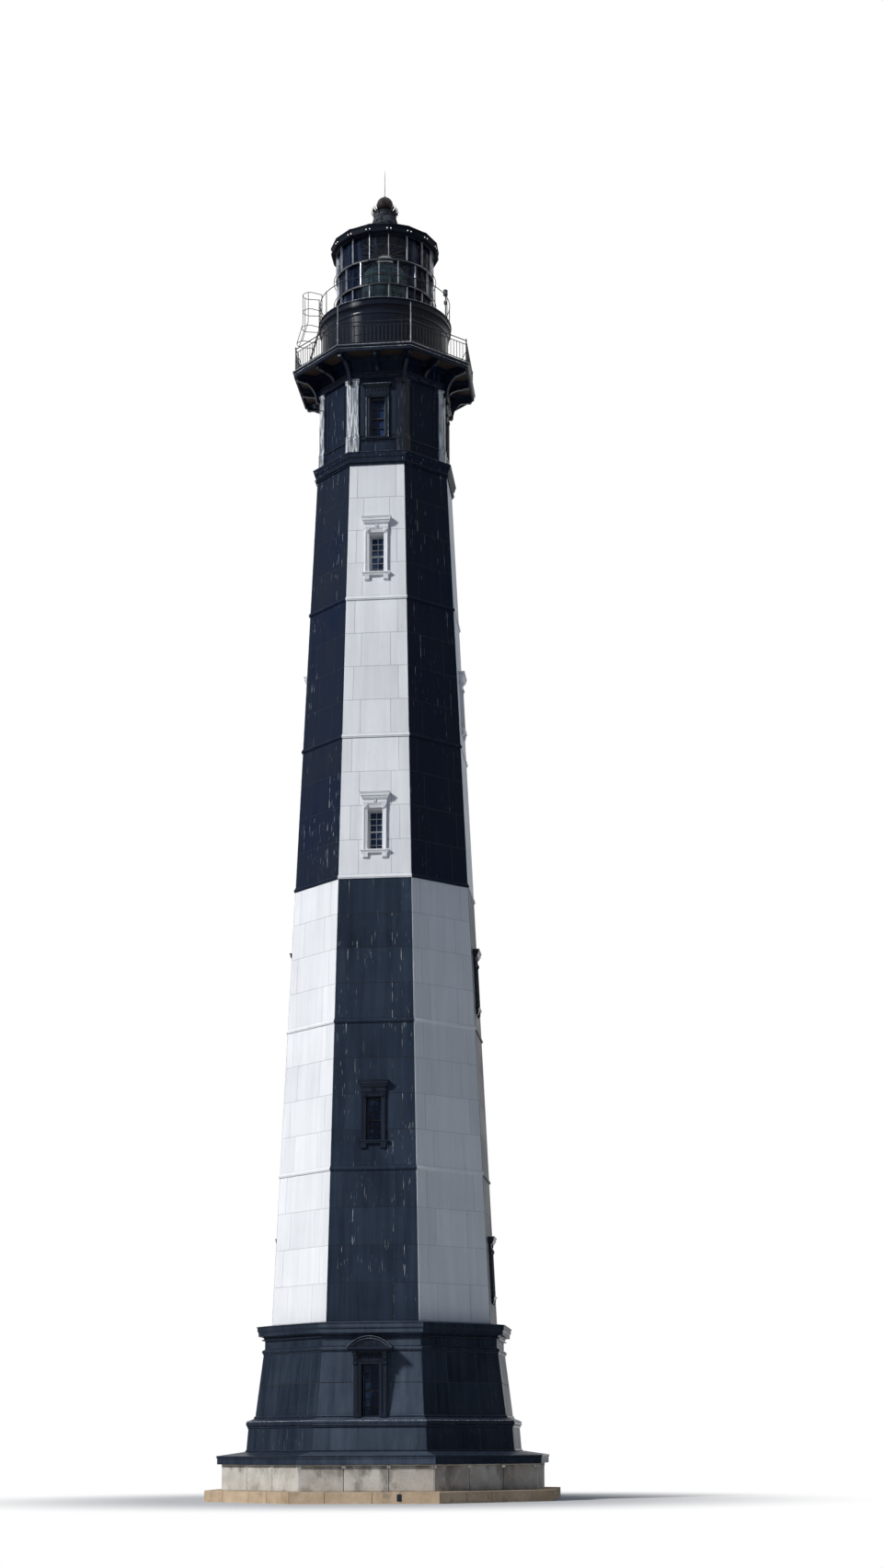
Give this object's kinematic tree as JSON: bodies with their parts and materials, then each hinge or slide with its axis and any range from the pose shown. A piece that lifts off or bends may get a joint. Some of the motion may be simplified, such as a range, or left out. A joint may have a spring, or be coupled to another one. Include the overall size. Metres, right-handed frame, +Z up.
{
  "type": "half-scale model of a lighthouse",
  "caption": "Tapering eight-sided iron lighthouse on a stone plinth, with counterchanged black and white faces, bracketed gallery, round service room and glazed lantern (half-scale model).",
  "frame": {"origin": "centre of the stone step's underside, on the ground under the tower's axis", "axes": "+Z up along the tower's axis; -Y is the front face"},
  "size_m": [6.098, 6.098, 25.369],
  "materials": {
    "step_stone": "rough dressed stone, sandy",
    "plinth_stone": "weathered dressed stone with dark stains",
    "black_paint": "semi-gloss black paint on cast iron, faintly streaked",
    "white_paint": "semi-gloss white paint on cast iron, plate seams showing",
    "white_joinery": "white paint",
    "window_glass": "dark reflective glass",
    "lantern_glass": "clear plate glass",
    "bright_bars": "bright painted metal glazing bars",
    "lens_glass": "prismatic lens glass, greenish",
    "lens_metal": "dull brass",
    "red_glass": "red sector glass",
    "roof_iron": "dark weathered iron",
    "collar_iron": "grey weathered iron",
    "ceiling_iron": "dark painted ceiling",
    "floor_iron": "floor plates, plain",
    "lamp_housing": "dark housing"
  },
  "bodies": {
    "root": {"base_cornice": "black_paint", "base_wall": "black_paint", "base_window_surrounds": "black_paint", "bed_plate": "black_paint", "black_sashes": "black_paint", "black_window_surrounds": "black_paint", "eave_gutter": "black_paint", "gallery_brackets": "black_paint", "gallery_deck": "black_paint", "gallery_frieze": "black_paint", "gallery_ladder": "black_paint", "gallery_posts": "black_paint", "gallery_railing": "black_paint", "glazing_frame": "bright_bars", "ladder_cage": "black_paint", "landings": "floor_iron", "lantern_ceiling": "ceiling_iron", "lantern_deck": "black_paint", "lantern_glass": "lantern_glass", "lantern_handholds": "black_paint", "lantern_railing": "black_paint", "lantern_roof": "roof_iron", "lens": "lens_glass", "lens_frame": "lens_metal", "lightning_rod": "collar_iron", "lower_course": "black_paint", "red_sector_pane": "red_glass", "service_room_wall": "black_paint", "signal_lamp": "lamp_housing", "stone_plinth": "plinth_stone", "stone_step": "step_stone", "tier_1_diagonal_plates": "white_paint", "tier_1_window_side_plates": "black_paint", "tier_2_diagonal_plates": "white_paint", "tier_2_window_side_plates": "black_paint", "tier_3_diagonal_plates": "white_paint", "tier_3_window_side_plates": "black_paint", "tier_4_diagonal_plates": "black_paint", "tier_4_window_side_plates": "white_paint", "tier_5_diagonal_plates": "black_paint", "tier_5_window_side_plates": "white_paint", "tier_6_diagonal_plates": "black_paint", "tier_6_window_side_plates": "white_paint", "ventilator_ball": "roof_iron", "ventilator_collar": "collar_iron", "watch_room_ledge": "black_paint", "watch_room_pilasters": "black_paint", "watch_room_walls": "black_paint", "watch_window_surrounds": "black_paint", "white_sashes": "white_joinery", "white_window_surrounds": "white_paint", "window_glass": "window_glass"}
  },
  "joints": []
}
